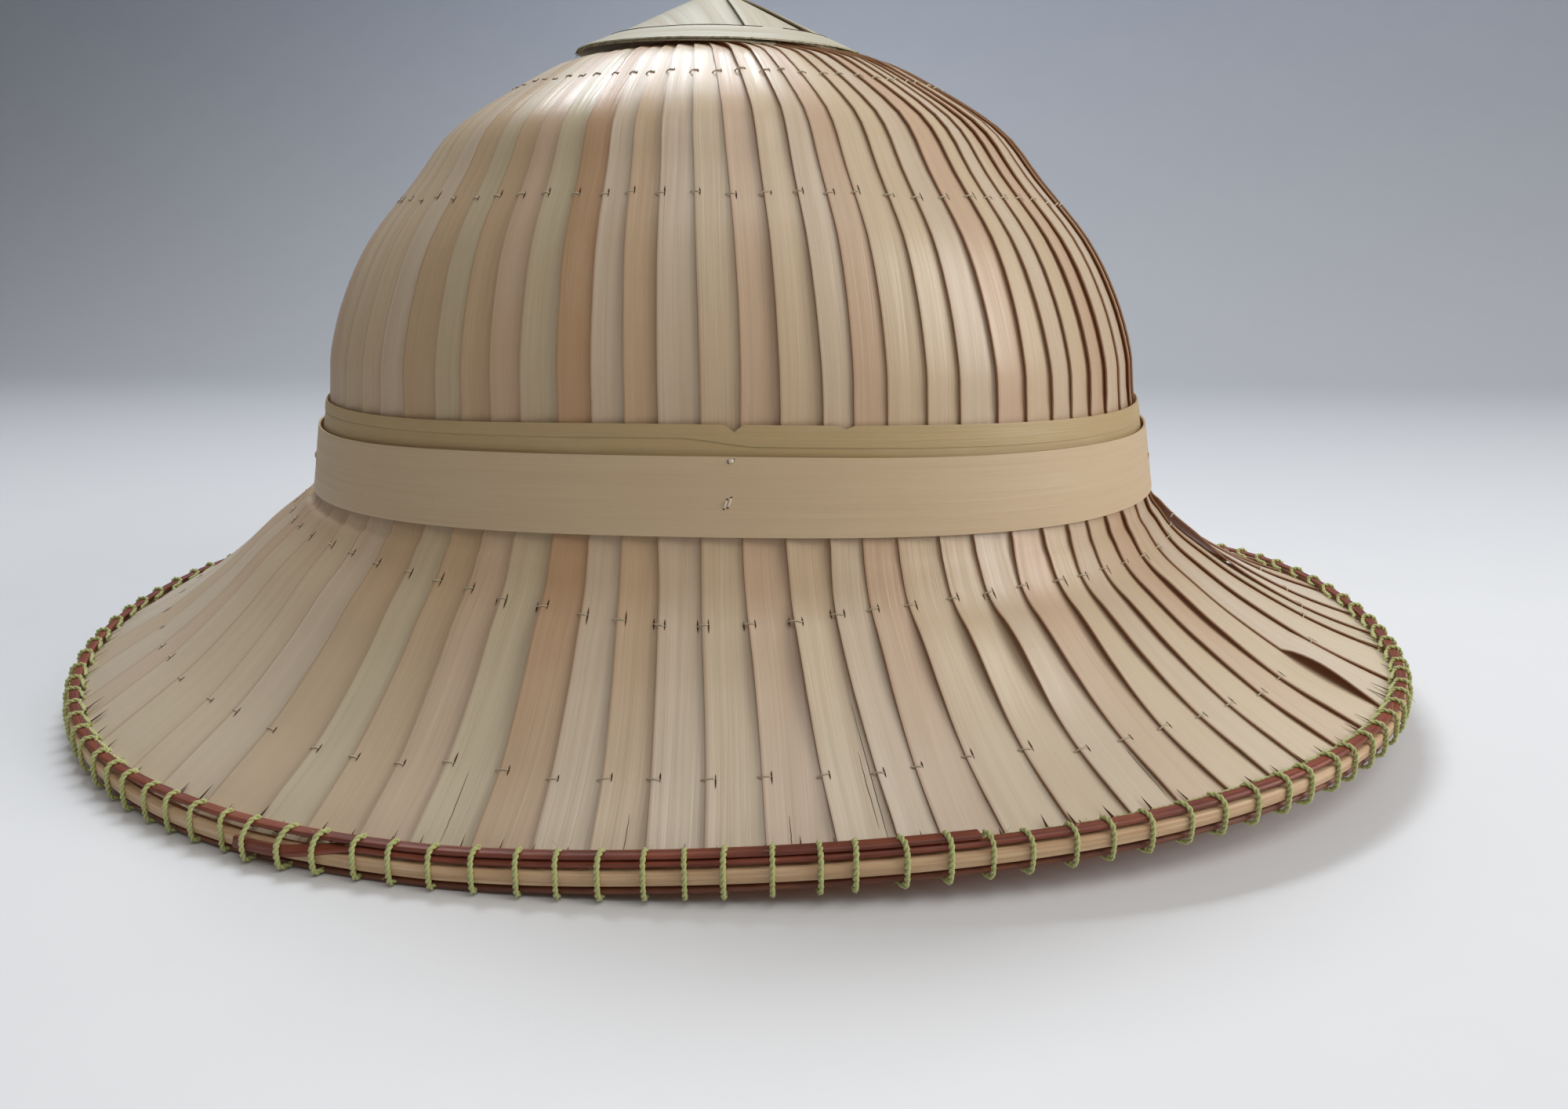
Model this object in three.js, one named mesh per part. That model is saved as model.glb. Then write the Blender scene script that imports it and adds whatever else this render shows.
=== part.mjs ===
// Pith helmet made of lapped palm-leaf strips, with a leaf cap, two leaf hatbands
// and a rim bound in rattan splits.
// Millimetres, +Z up, +X along the long way of the head; the hat stands on Z = 0.

import * as THREE from 'three';
import { mergeVertices } from 'three/addons/utils/BufferGeometryUtils.js';

// Main form; the two places along the rim and the reach are degrees
const rimLength = 362;
const rimWidth = 262;
const crownLength = 226;
const crownWidth = 179;
const brimDrop = 48.9;
const crownRise = 106.7;
const footDip = 2;
const rimTwist = 4.8;
const rimHighSpot = -28.6;
const rimLift = 6.4;
const rimLiftAt = 20;
const rimLiftReach = 34;
const restFlat = 0.25;

// Leaf strips
const stripCount = 72;
const stripsInGroup = 6;
const stripWidth = 16;
const stripStep = 0.8;
const leafWall = 2.2;
const fitGap = 0.3;

// The one strip whose free edge has buckled upwards on the brim
const buckledStrip = 68;
const buckleLift = 2.6;

// Hatbands
const bandWall = 1;
const mainBandHeight = 16.3;
const upperBandShow = 6.6;
const upperBandTuck = 4.4;

// Cap
const capRadius = 36.3;
const capRise = 16.5;
const capWall = 1.2;
const capLapStep = 0.6;
const capHemStep = 0.4;
const capShift = -2.4;
const capSeat = 0.969;
const capColumns = 36;

// Rim splits
const darkSplitWidth = 2.4;
const darkSplitThickness = 1.2;
const darkSplitInside = 0.6;
const paleSplitThickness = 2.2;
const paleSplitHeight = 3.3;
const lowerSplitWidth = 4;
const lowerSplitThickness = 1.8;
const lapFrom = -126;
const lapTo = -65;

// Crown outline from the foot of the hatband upwards.
// up: share of crownRise, out: share of the radius at the foot,
// oval: share of the foot's ovality.
const crownOutline = [
  { up: 0.000, out: 1.000, oval: 1.00 },
  { up: 0.218, out: 0.950, oval: 1.00 },
  { up: 0.325, out: 0.936, oval: 0.98 },
  { up: 0.447, out: 0.900, oval: 0.92 },
  { up: 0.575, out: 0.840, oval: 0.80 },
  { up: 0.703, out: 0.743, oval: 0.63 },
  { up: 0.817, out: 0.652, oval: 0.44 },
  { up: 0.931, out: 0.466, oval: 0.20 },
  { up: 1.000, out: 0.200, oval: 0.00 },
];

// Brim outline from the foot of the hatband to the rim.
// out: share of the brim's reach, right and left: share of the drop still to go
// on the +X and the -X side; the left side is nearly a straight cone.
const brimOutline = [
  { out: 0.06, right: 0.850, left: 0.935 },
  { out: 0.14, right: 0.710, left: 0.845 },
  { out: 0.25, right: 0.580, left: 0.722 },
  { out: 0.40, right: 0.425, left: 0.535 },
  { out: 0.60, right: 0.255, left: 0.328 },
  { out: 0.80, right: 0.112, left: 0.160 },
  { out: 1.00, right: 0.000, left: 0.000 },
];

// Cap outline: out is a share of capRadius, up a share of capRise, hem of capHemStep.
const capOutline = [
  { out: 0.0, up: 1.00, hem: 0 },
  { out: 0.4, up: 0.62, hem: 0 },
  { out: 0.8, up: 0.21, hem: 0 },
  { out: 0.8, up: 0.21, hem: 1 },
  { out: 1.0, up: 0.00, hem: 1 },
];

// Seams of the cap, degrees from +X, and how far each lap fades out.
const capSeams = [
  { at: -71, fade: 60 },
  { at: -30, fade: 38 },
  { at: 110, fade: 60 },
];

const leafMaterial = new THREE.MeshStandardMaterial({ color: 0xcdbb9a, roughness: 0.5 });
const capMaterial = new THREE.MeshStandardMaterial({ color: 0xd2cbb4, roughness: 0.5 });
const upperBandMaterial = new THREE.MeshStandardMaterial({ color: 0xb8a57c, roughness: 0.55 });
const mainBandMaterial = new THREE.MeshStandardMaterial({ color: 0xcdb78e, roughness: 0.5 });
const darkSplitMaterial = new THREE.MeshStandardMaterial({ color: 0x6e3526, roughness: 0.45 });
const paleSplitMaterial = new THREE.MeshStandardMaterial({ color: 0xc79f6c, roughness: 0.5 });
const lowerSplitMaterial = new THREE.MeshStandardMaterial({ color: 0x8f532f, roughness: 0.5 });

const radians = THREE.MathUtils.degToRad;
const stripPitch = 2 * Math.PI / stripCount;
const footRadius = (crownLength + crownWidth) / 4;
const footOval = (crownLength - crownWidth) / (crownLength + crownWidth);
const splitReach = fitGap + paleSplitThickness + fitGap;
const edgeRadius = (rimLength + rimWidth) / 4 - splitReach;
const edgeOval = (rimLength - rimWidth) / (rimLength + rimWidth);
const edgeTop = 0.7;
const paleTop = edgeTop + 0.25;
const lowerSplitBottom = paleTop - paleSplitHeight - fitGap - lowerSplitThickness;
const rimMiddle = rimTwist - restFlat - lowerSplitBottom;

function polar(radius, angle, height) {
  return new THREE.Vector3(radius * Math.cos(angle), radius * Math.sin(angle), height);
}

// Height of the rim over its middle plane: a twist, and one stretch that curls up.
// Its two low spots are flat where they rest.
function rimLevel(angle) {
  const twist = rimTwist * Math.cos(2 * (angle - radians(rimHighSpot)));
  const away = Math.acos(Math.cos(angle - radians(rimLiftAt)));
  const share = Math.min(away / radians(rimLiftReach), 1);
  const curl = rimLift * (1 + Math.cos(Math.PI * share)) / 2;
  return Math.max(twist, restFlat - rimTwist) + curl;
}

function leafEdge(angle) {
  return edgeRadius * (1 + edgeOval * Math.cos(2 * angle));
}

// Height of the crown's foot: a little lower at the two ends than at the sides.
function footLevel(angle) {
  return brimDrop - footDip * Math.cos(2 * angle);
}

function crownPoint(row, angle) {
  const oval = footOval * row.oval;
  const radius = footRadius * row.out * (1 + oval * Math.cos(2 * angle));
  return { radius, height: THREE.MathUtils.lerp(footLevel(angle), brimDrop + crownRise, row.up) };
}

function brimPoint(row, angle) {
  const foot = crownPoint(crownOutline[0], angle);
  const leftness = ((1 - Math.cos(angle)) / 2) ** 2;
  const share = THREE.MathUtils.lerp(row.right, row.left, leftness);
  const edgeHeight = rimLevel(angle) + edgeTop;
  return {
    radius: THREE.MathUtils.lerp(foot.radius, leafEdge(angle), row.out),
    height: THREE.MathUtils.lerp(edgeHeight, foot.height, share),
  };
}

// The rows of the leaf shell from the top of the crown down to the rim.
const shellRows = [
  ...crownOutline.map((row) => ({
    meanRadius: footRadius * row.out,
    at: (angle) => crownPoint(row, angle),
  })).reverse(),
  ...brimOutline.map((row) => ({
    meanRadius: THREE.MathUtils.lerp(footRadius, edgeRadius, row.out),
    at: (angle) => brimPoint(row, angle),
  })),
];

// A straight strip keeps its width, so its free edge swings back as the radius shrinks.
function edgeSwing(meanRadius) {
  return Math.asin(stripWidth / 2 / meanRadius);
}

// A point of the shell in one row, moved along the surface normal by `offset`
// and back along the row by `gap`.
function shellPoint(rowIndex, stripAngle, offset, gap = 0) {
  const row = shellRows[rowIndex];
  const angle = stripAngle - edgeSwing(row.meanRadius) - gap / row.meanRadius;
  const above = shellRows[Math.max(rowIndex - 1, 0)].at(angle);
  const below = shellRows[Math.min(rowIndex + 1, shellRows.length - 1)].at(angle);
  const run = below.radius - above.radius;
  const fall = above.height - below.height;
  const length = Math.hypot(run, fall);
  const point = row.at(angle);
  return polar(point.radius + offset * fall / length, angle, point.height + offset * run / length);
}

// Joins columns of points, each a closed loop, into one body.
// An open run of columns is closed by a face at each end.
function loft(name, columns, material, closed = true) {
  const count = columns[0].length;
  const positions = columns.flat().flatMap((point) => point.toArray());
  const triangles = [];
  const spans = closed ? columns.length : columns.length - 1;
  for (let c = 0; c < spans; c += 1) {
    const next = (c + 1) % columns.length;
    for (let k = 0; k < count; k += 1) {
      const after = (k + 1) % count;
      const [a, b] = [c * count + k, c * count + after];
      const [d, e] = [next * count + k, next * count + after];
      triangles.push([a, b, e], [a, e, d]);
    }
  }
  if (!closed) {
    const end = (columns.length - 1) * count;
    for (let k = 0; k < count / 2 - 1; k += 1) {
      const [a, b, d, e] = [k, k + 1, count - 2 - k, count - 1 - k];
      triangles.push([a, d, b], [a, e, d]);
      triangles.push([end + a, end + b, end + d], [end + a, end + d, end + e]);
    }
  }
  let geometry = new THREE.BufferGeometry();
  geometry.setAttribute('position', new THREE.Float32BufferAttribute(positions, 3));
  geometry.setIndex(triangles.flat());
  geometry = mergeVertices(geometry, 1e-3);
  const index = geometry.getIndex().array;
  const kept = [];
  for (let k = 0; k < index.length; k += 3) {
    const [a, b, c] = index.slice(k, k + 3);
    if (a !== b && b !== c && c !== a) kept.push(a, b, c);
  }
  geometry.setIndex(kept);
  geometry.computeVertexNormals();
  const mesh = new THREE.Mesh(geometry, material);
  mesh.name = name;
  return mesh;
}

// Lift of the buckled strip's free edge, greatest past the middle of the brim.
function buckle(stripIndex, rowIndex) {
  if (stripIndex !== buckledStrip) return 0;
  const row = brimOutline[rowIndex - crownOutline.length];
  return row ? buckleLift * Math.max(0, Math.sin(Math.PI * (row.out - 0.25) / 0.75)) : 0;
}

// The lapped strips, in groups that lie edge to edge. Within a group the wall steps
// down from each strip's free edge to its left neighbour.
function leafStrips() {
  const rows = shellRows.map((row, k) => k);
  return Array.from({ length: stripCount / stripsInGroup }, (unused, group) => {
    const first = group * stripsInGroup;
    const last = first + stripsInGroup;
    const columns = [];
    for (let strip = first; strip <= last; strip += 1) {
      const angle = strip * stripPitch;
      const gap = strip === last ? fitGap : 0;
      const column = (lift) => [
        ...rows.map((k) => shellPoint(k, angle, lift(k), gap)),
        ...rows.map((k) => shellPoint(k, angle, -leafWall, gap)).reverse(),
      ];
      if (strip > first) columns.push(column(() => -stripStep));
      if (strip < last) columns.push(column((k) => buckle(strip, k)));
    }
    return loft(`leaf_strips_${group + 1}`, columns, leafMaterial, false);
  });
}

// Angles of the strips' free edges at the foot of the crown; rings use them too.
const ringAngles = Array.from(
  { length: stripCount },
  (unused, strip) => strip * stripPitch - edgeSwing(footRadius),
);

function crownRadiusAt(height, angle) {
  const [foot, next] = crownOutline.map((row) => crownPoint(row, angle));
  const share = (height - foot.height) / (next.height - foot.height);
  return THREE.MathUtils.lerp(foot.radius, next.radius, share);
}

// A leaf ribbon round the crown; each row gives its height over the foot and
// its distance out from the strips.
function ribbon(name, rows, material) {
  const columns = ringAngles.map((angle) => {
    const place = (row, extra) => {
      const height = footLevel(angle) + row.up;
      return polar(crownRadiusAt(height, angle) + row.clear + extra, angle, height);
    };
    const outside = rows.map((row) => place(row, bandWall));
    const inside = rows.map((row) => place(row, 0)).reverse();
    return [...outside, ...inside];
  });
  return loft(name, columns, material);
}

function mainBand() {
  const overUpper = fitGap + bandWall + fitGap;
  return ribbon('main_band', [
    { up: mainBandHeight, clear: overUpper },
    { up: mainBandHeight - upperBandTuck, clear: overUpper },
    { up: 0, clear: fitGap },
  ], mainBandMaterial);
}

function upperBand() {
  return ribbon('upper_band', [
    { up: mainBandHeight + upperBandShow, clear: fitGap },
    { up: mainBandHeight - upperBandTuck, clear: fitGap },
  ], upperBandMaterial);
}

function topCap() {
  const even = Array.from({ length: capColumns }, (unused, k) => k * 360 / capColumns);
  const seamAngles = capSeams.map((seam) => seam.at);
  const plain = even.filter((angle) => seamAngles.every((at) => (angle - at + 720) % 360 !== 0));
  const stops = [
    ...plain.map((angle) => ({ angle, side: 0 })),
    ...capSeams.flatMap((seam) => {
      const angle = (seam.at + 360) % 360;
      return [{ angle, side: -1 }, { angle, side: 1 }];
    }),
  ].sort((p, q) => p.angle - q.angle || p.side - q.side);
  const lapLift = (stop) => capSeams.reduce((lift, seam) => {
    const past = (stop.angle - seam.at + 720) % 360;
    const onSeam = past === 0 && stop.side < 0;
    return onSeam ? lift : Math.max(lift, capLapStep * (1 - past / seam.fade));
  }, 0);
  const edgeHeight = brimDrop + crownRise * capSeat + fitGap;
  const columns = stops.map((stop) => {
    const angle = radians(stop.angle);
    const place = (row, extra) => {
      const lift = row.out > 0 ? lapLift(stop) * row.out : 0;
      const height = edgeHeight + capRise * row.up + lift + extra;
      return polar(capRadius * row.out, angle, height);
    };
    const outside = capOutline.map((row) => place(row, capWall + capHemStep * row.hem));
    const inside = capOutline.filter((row, k) => k !== 2).map((row) => place(row, 0)).reverse();
    return [...outside, ...inside];
  });
  const cap = loft('top_cap', columns, capMaterial);
  cap.position.x = capShift;
  return cap;
}

// A flat split with its outer corners rounded off.
// Points run from the inner top corner outwards, down and back in.
function splitSection(width, thickness) {
  const round = 0.3 * Math.min(width, thickness);
  return [
    { out: 0, up: thickness },
    { out: width - round, up: thickness },
    { out: width, up: thickness - round },
    { out: width, up: round },
    { out: width - round, up: 0 },
    { out: 0, up: 0 },
  ];
}

function ringColumn(section, angle, start) {
  return section.map((point) => {
    const radius = leafEdge(angle) + start.out + point.out;
    const slant = (start.slant ?? 0) * (darkSplitWidth - point.out);
    return polar(radius, angle, rimLevel(angle) + start.up + point.up + slant);
  });
}

function paleSplit() {
  const section = splitSection(paleSplitThickness, paleSplitHeight);
  const start = { out: fitGap, up: paleTop - paleSplitHeight };
  const columns = ringAngles.map((angle) => ringColumn(section, angle, start));
  return loft('rim_pale_split', columns, paleSplitMaterial);
}

function lowerSplit() {
  const section = [
    { out: 0, up: lowerSplitThickness },
    { out: lowerSplitWidth, up: lowerSplitThickness },
    { out: 0.9 * lowerSplitWidth, up: 0 },
    { out: 0, up: 0 },
  ];
  const start = { out: fitGap + paleSplitThickness - lowerSplitWidth, up: lowerSplitBottom };
  const columns = ringAngles.map((angle) => ringColumn(section, angle, start));
  return loft('rim_lower_split', columns, lowerSplitMaterial);
}

// One long dark split goes round the rim more than once.
// Its second turn climbs over its own start and ends on top.
function darkSplit() {
  const section = splitSection(darkSplitWidth, darkSplitThickness);
  const lap = radians(lapTo - lapFrom);
  const turn = 2 * Math.PI;
  const climb = radians(20);
  const steps = Math.round((turn + lap) / stripPitch);
  const columns = [];
  for (let k = 0; k <= steps; k += 1) {
    const along = k * stripPitch;
    const angle = radians(lapFrom) + along;
    const onTop = THREE.MathUtils.smoothstep(along, turn - climb - stripPitch, turn - stripPitch);
    const atStart = 1 - THREE.MathUtils.smoothstep(along, lap, lap + climb);
    const brimRow = brimPoint(brimOutline.at(-2), angle);
    const slope = (brimRow.height - rimLevel(angle) - edgeTop) / (leafEdge(angle) - brimRow.radius);
    const innerRise = slope * darkSplitInside + edgeTop + fitGap - paleTop;
    const start = {
      out: -darkSplitInside + 0.3 * atStart - 0.3 * onTop,
      up: paleTop + fitGap + onTop * (darkSplitThickness + fitGap),
      slant: Math.max(0, innerRise) / darkSplitWidth,
    };
    columns.push(ringColumn(section, angle, start));
  }
  return loft('rim_dark_split', columns, darkSplitMaterial, false);
}

const hat = new THREE.Group();
hat.name = 'pith_helmet';
hat.position.z = rimMiddle;
hat.add(
  ...leafStrips(),
  topCap(),
  upperBand(),
  mainBand(),
  darkSplit(),
  paleSplit(),
  lowerSplit(),
);

export default hat;
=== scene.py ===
"""Looks of the palm-leaf pith helmet: strips, bands, cap, rim binding, stitches, light and camera.

Metres, in the CAD frame: +X along the long way of the head, +Z up, the floor at Z = 0.
"""

import math

import bpy
import numpy as np
from mathutils import Matrix, Vector


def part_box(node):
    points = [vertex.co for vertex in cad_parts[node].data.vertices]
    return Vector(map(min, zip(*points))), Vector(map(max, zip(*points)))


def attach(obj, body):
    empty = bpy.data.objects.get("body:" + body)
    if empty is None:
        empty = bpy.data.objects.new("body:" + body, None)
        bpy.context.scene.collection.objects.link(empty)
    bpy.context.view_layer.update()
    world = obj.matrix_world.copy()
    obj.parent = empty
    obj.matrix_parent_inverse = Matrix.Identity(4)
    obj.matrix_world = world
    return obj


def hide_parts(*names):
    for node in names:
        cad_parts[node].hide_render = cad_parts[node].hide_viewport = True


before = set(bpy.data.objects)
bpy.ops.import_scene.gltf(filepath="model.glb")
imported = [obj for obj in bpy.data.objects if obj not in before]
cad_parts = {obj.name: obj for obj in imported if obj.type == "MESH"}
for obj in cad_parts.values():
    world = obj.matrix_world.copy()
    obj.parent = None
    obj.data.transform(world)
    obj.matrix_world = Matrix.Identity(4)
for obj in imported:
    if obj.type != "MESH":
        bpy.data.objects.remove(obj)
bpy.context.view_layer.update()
MM = 0.001
rng = np.random.default_rng(5)

# Sizes, taken from the CAD solids
RIM_LOW, RIM_HIGH = (np.array(c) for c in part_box("rim_pale_split"))
FOOT_LOW, FOOT_HIGH = (np.array(c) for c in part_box("main_band"))
LEAF_NODES = [f"leaf_strips_{k}" for k in range(1, 13)]
SHELL_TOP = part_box(LEAF_NODES[0])[1][2]
FOOT_DIP = 2.0 * MM
BAND_RELIEF = 1.3 * MM
PALE_REACH = 2.5 * MM

half_foot = (FOOT_HIGH - FOOT_LOW)[:2] / 2 - BAND_RELIEF
FOOT_RADIUS = half_foot.mean()
FOOT_OVAL = (half_foot[0] - half_foot[1]) / half_foot.sum()
half_edge = (RIM_HIGH - RIM_LOW)[:2] / 2 - PALE_REACH
EDGE_RADIUS = half_edge.mean()
EDGE_OVAL = (half_edge[0] - half_edge[1]) / half_edge.sum()
RIM_MIDDLE = 9.0 * MM
FOOT_HEIGHT = FOOT_LOW[2] + FOOT_DIP
CROWN_RISE = SHELL_TOP - FOOT_HEIGHT
RIM_TWIST = 4.8 * MM
RIM_HIGH_SPOT = math.radians(-28.6)
RIM_LIFT = 6.4 * MM
RIM_LIFT_AT = math.radians(20)
RIM_LIFT_REACH = math.radians(34)
REST_FLAT = 0.25 * MM
EDGE_TOP = 0.7 * MM

STRIP_COUNT = 72
STRIP_WIDTH = 16 * MM
LEAF = 0.35 * MM

# Rows of the leaf surface from the cap down to the rim (shares, as in the CAD part).
CROWN = dict(
    up=[1.000, 0.965, 0.931, 0.817, 0.703, 0.575, 0.447, 0.325, 0.218, 0.0],
    out=[0.200, 0.358, 0.466, 0.652, 0.743, 0.840, 0.900, 0.936, 0.950, 1.0],
    oval=[0.00, 0.12, 0.20, 0.44, 0.63, 0.80, 0.92, 0.98, 1.00, 1.0],
)
BRIM = dict(
    out=[0.06, 0.14, 0.25, 0.40, 0.60, 0.80, 1.00],
    right=[0.850, 0.710, 0.580, 0.425, 0.255, 0.112, 0.0],
    left=[0.935, 0.845, 0.722, 0.535, 0.328, 0.160, 0.0],
)
CROWN_ROWS = len(CROWN["up"])
ROWS = CROWN_ROWS + len(BRIM["out"])
FOOT = CROWN_ROWS - 1
RIM = ROWS - 1


def rim_level(angle):
    """Height of the leaf's edge: twisted, and curled up at one place."""
    twist = RIM_TWIST * np.cos(2 * (angle - RIM_HIGH_SPOT))
    away = np.arccos(np.clip(np.cos(angle - RIM_LIFT_AT), -1, 1))
    curl = RIM_LIFT * (1 + np.cos(np.pi * np.minimum(away / RIM_LIFT_REACH, 1))) / 2
    return RIM_MIDDLE + np.maximum(twist, REST_FLAT - RIM_TWIST) + curl


def leaf_edge(angle):
    """Radius of the leaf's edge."""
    return EDGE_RADIUS * (1 + EDGE_OVAL * np.cos(2 * angle))


def foot_level(angle):
    """Height of the hatband's foot, which dips at the front and back of the head."""
    return FOOT_HEIGHT - FOOT_DIP * np.cos(2 * angle)


def row_points(angle):
    """Radius and height of every row at these angles: two arrays of shape (rows, angles)."""
    angle = np.atleast_1d(angle)
    wave = np.cos(2 * angle)[None, :]
    up, out, oval = (np.array(CROWN[key])[:, None] for key in ("up", "out", "oval"))
    crown_radius = FOOT_RADIUS * out * (1 + FOOT_OVAL * oval * wave)
    foot = foot_level(angle)[None, :]
    crown_height = foot + (FOOT_HEIGHT + CROWN_RISE - foot) * up
    share, right, left = (np.array(BRIM[key])[:, None] for key in ("out", "right", "left"))
    leftness = (((1 - np.cos(angle)) / 2) ** 2)[None, :]
    drop = right + (left - right) * leftness
    edge_height = (rim_level(angle) + EDGE_TOP)[None, :]
    brim_radius = crown_radius[-1:] + (leaf_edge(angle)[None, :] - crown_radius[-1:]) * share
    brim_height = edge_height + (foot - edge_height) * drop
    return np.vstack([crown_radius, brim_radius]), np.vstack([crown_height, brim_height])


def smooth_rows(s, table):
    """Catmull-Rom value of a (rows, n) table at row positions s, one per column."""
    k = np.clip(np.floor(s).astype(int), 0, ROWS - 2)
    t = s - k
    cols = np.arange(table.shape[1])
    p0 = table[np.clip(k - 1, 0, RIM), cols]
    p1 = table[k, cols]
    p2 = table[k + 1, cols]
    p3 = table[np.clip(k + 2, 0, RIM), cols]
    square = (2 * p0 - 5 * p1 + 4 * p2 - p3) * t**2
    cube = (3 * p1 - p0 - 3 * p2 + p3) * t**3
    return 0.5 * (2 * p1 + (p2 - p0) * t + square + cube)


def surface(s, angle, offset=0.0):
    """Points of the leaf surface at row position s and angle, moved out by offset; shape (n, 3)."""
    s, angle, offset = (np.asarray(a, float) for a in np.broadcast_arrays(s, angle, offset))
    shape = s.shape
    s, angle, offset = s.ravel(), angle.ravel(), offset.ravel()
    radius, height = row_points(angle)
    step = 0.02
    lo, hi = np.clip(s - step, 0, RIM), np.clip(s + step, 0, RIM)
    run = smooth_rows(hi, radius) - smooth_rows(lo, radius)
    fall = smooth_rows(lo, height) - smooth_rows(hi, height)
    length = np.hypot(run, fall)
    r = smooth_rows(s, radius) + offset * fall / length
    z = smooth_rows(s, height) + offset * run / length
    return np.stack([r * np.cos(angle), r * np.sin(angle), z], -1).reshape(*shape, 3)


MEAN_RADIUS = np.concatenate([
    FOOT_RADIUS * np.array(CROWN["out"]),
    FOOT_RADIUS + (EDGE_RADIUS - FOOT_RADIUS) * np.array(BRIM["out"]),
])


def swing(s):
    """How far a straight strip's free edge lies back from its middle line."""
    radius = np.interp(s, np.arange(ROWS), MEAN_RADIUS)
    return np.arcsin(STRIP_WIDTH / 2 / radius)


# Mesh helpers
def smoothstep(x, low, high):
    """0 below low, 1 above high, and smooth between them."""
    t = np.clip((x - low) / (high - low), 0, 1)
    return t * t * (3 - 2 * t)


def path_length(path):
    """Length along a path from its start to each of its points."""
    return np.concatenate([[0], np.cumsum(np.linalg.norm(np.diff(path, axis=0), axis=1))])


def unit(vectors):
    """Vectors brought to length one."""
    return vectors / (np.linalg.norm(vectors, axis=-1, keepdims=True) + 1e-12)


def carried_frame(tangent, current):
    """Two directions square to each tangent of a path, carried along it from a first one."""
    side = np.zeros_like(tangent)
    for k, along in enumerate(tangent):
        current = unit(current - along * (current @ along))
        side[k] = current
    return side, np.cross(tangent, side)


def outward(angle):
    return np.array([math.cos(angle), math.sin(angle), 0.0])


def grid_faces(index, closed_rows=False, closed_cols=False):
    """Quads between the neighbours in a grid of point numbers."""
    below, right = np.roll(index, -1, 0), np.roll(index, -1, 1)
    quads = np.stack([index, right, np.roll(below, -1, 1), below], -1)
    quads = quads[:None if closed_rows else -1, :None if closed_cols else -1]
    return [tuple(quad) for quad in quads.reshape(-1, 4)]


class Mesh:
    """Collects grids and tubes into one mesh."""

    def __init__(self):
        self.points, self.faces, self.uvs, self.tone = [], [], [], []
        self.count = 0

    def add(self, points, faces, uvs=None, tone=0.0):
        points = np.asarray(points, float).reshape(-1, 3)
        self.points.append(points)
        self.faces.extend([tuple(int(i) + self.count for i in f) for f in faces])
        uvs = np.zeros((len(points), 2)) if uvs is None else np.asarray(uvs, float)
        self.uvs.append(uvs.reshape(-1, 2))
        self.tone.append(np.broadcast_to(np.asarray(tone, float), (len(points),)).copy())
        self.count += len(points)

    def sheet(self, top, bottom, uv=None, tone=0.0):
        """A thin sheet from two grids of the same shape, closed round its edge."""
        count = top.shape[0] * top.shape[1]
        index = np.arange(count).reshape(top.shape[:2])
        faces = grid_faces(index.T) + grid_faces(index + count)
        border = np.concatenate([index[:-1, 0], index[-1, :-1], index[:0:-1, -1], index[0, :0:-1]])
        for a, b in zip(border, np.roll(border, -1)):
            faces.append((a, a + count, b + count, b))
        uv = np.zeros((count, 2)) if uv is None else np.asarray(uv).reshape(-1, 2)
        points = np.vstack([top.reshape(-1, 3), bottom.reshape(-1, 3)])
        self.add(points, faces, np.vstack([uv, uv]), tone)

    def tube(self, path, radius, sides=5, tone=0.0):
        """A tube along a path; radius may be one number or one per point."""
        path = np.asarray(path, float)
        count = len(path)
        radius = np.broadcast_to(np.asarray(radius, float), (count,))
        ahead = np.vstack([path[1:], 2 * path[-1:] - path[-2:-1]])
        behind = np.vstack([2 * path[:1] - path[1:2], path[:-1]])
        tangent = unit(ahead - behind)
        start = [0.0, 0.0, 1.0] if abs(tangent[0, 2]) < 0.9 else [1.0, 0.0, 0.0]
        side, across = carried_frame(tangent, np.array(start))
        turn = np.arange(sides) * 2 * math.pi / sides
        cosine, sine = np.cos(turn)[None, :, None], np.sin(turn)[None, :, None]
        ring = side[:, None] * cosine + across[:, None] * sine
        points = path[:, None] + ring * radius[:, None, None]
        index = np.arange(count * sides).reshape(count, sides)
        faces = grid_faces(index, False, True)
        faces.append(tuple(index[0, ::-1]))
        faces.append(tuple(index[-1]))
        girth = np.tile(np.arange(sides) / sides, (count, 1)) * 2 * MM
        uv = np.stack([girth, np.repeat(path_length(path)[:, None], sides, 1)], -1)
        self.add(points, faces, uv, tone)

    def build(self, name, sharp, material, **values):
        """The object, with edges over sharp degrees kept sharp, and more values for its points."""
        mesh = bpy.data.meshes.new(name)
        mesh.from_pydata([tuple(p) for p in np.vstack(self.points)], [], self.faces)
        values = {"tone": np.concatenate(self.tone)} | values
        for key, value in values.items():
            layer = mesh.attributes.new(key, "FLOAT", "POINT")
            layer.data.foreach_set("value", value.astype(np.float32))
        layer = mesh.uv_layers.new(name="leaf")
        loops = np.empty(len(mesh.loops), dtype=np.int32)
        mesh.loops.foreach_get("vertex_index", loops)
        layer.data.foreach_set("uv", np.vstack(self.uvs).astype(np.float32)[loops].ravel())
        mesh.validate()
        mesh.polygons.foreach_set("use_smooth", [True] * len(mesh.polygons))
        mesh.set_sharp_from_angle(angle=math.radians(sharp))
        mesh.materials.append(material)
        obj = bpy.data.objects.new(name, mesh)
        bpy.context.scene.collection.objects.link(obj)
        return obj


def add_trim(name, mesh, material):
    """A piece of threads, nicks or fringe, which stands for no solid."""
    piece = mesh.build(name, 80, material)
    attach(piece, "root")


# Materials
def srgb(code):
    """Linear colour of a hex code."""
    parts = [int(code[k:k + 2], 16) / 255 for k in (0, 2, 4)]
    return [c / 12.92 if c <= 0.04045 else ((c + 0.055) / 1.055) ** 2.4 for c in parts] + [1.0]


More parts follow.
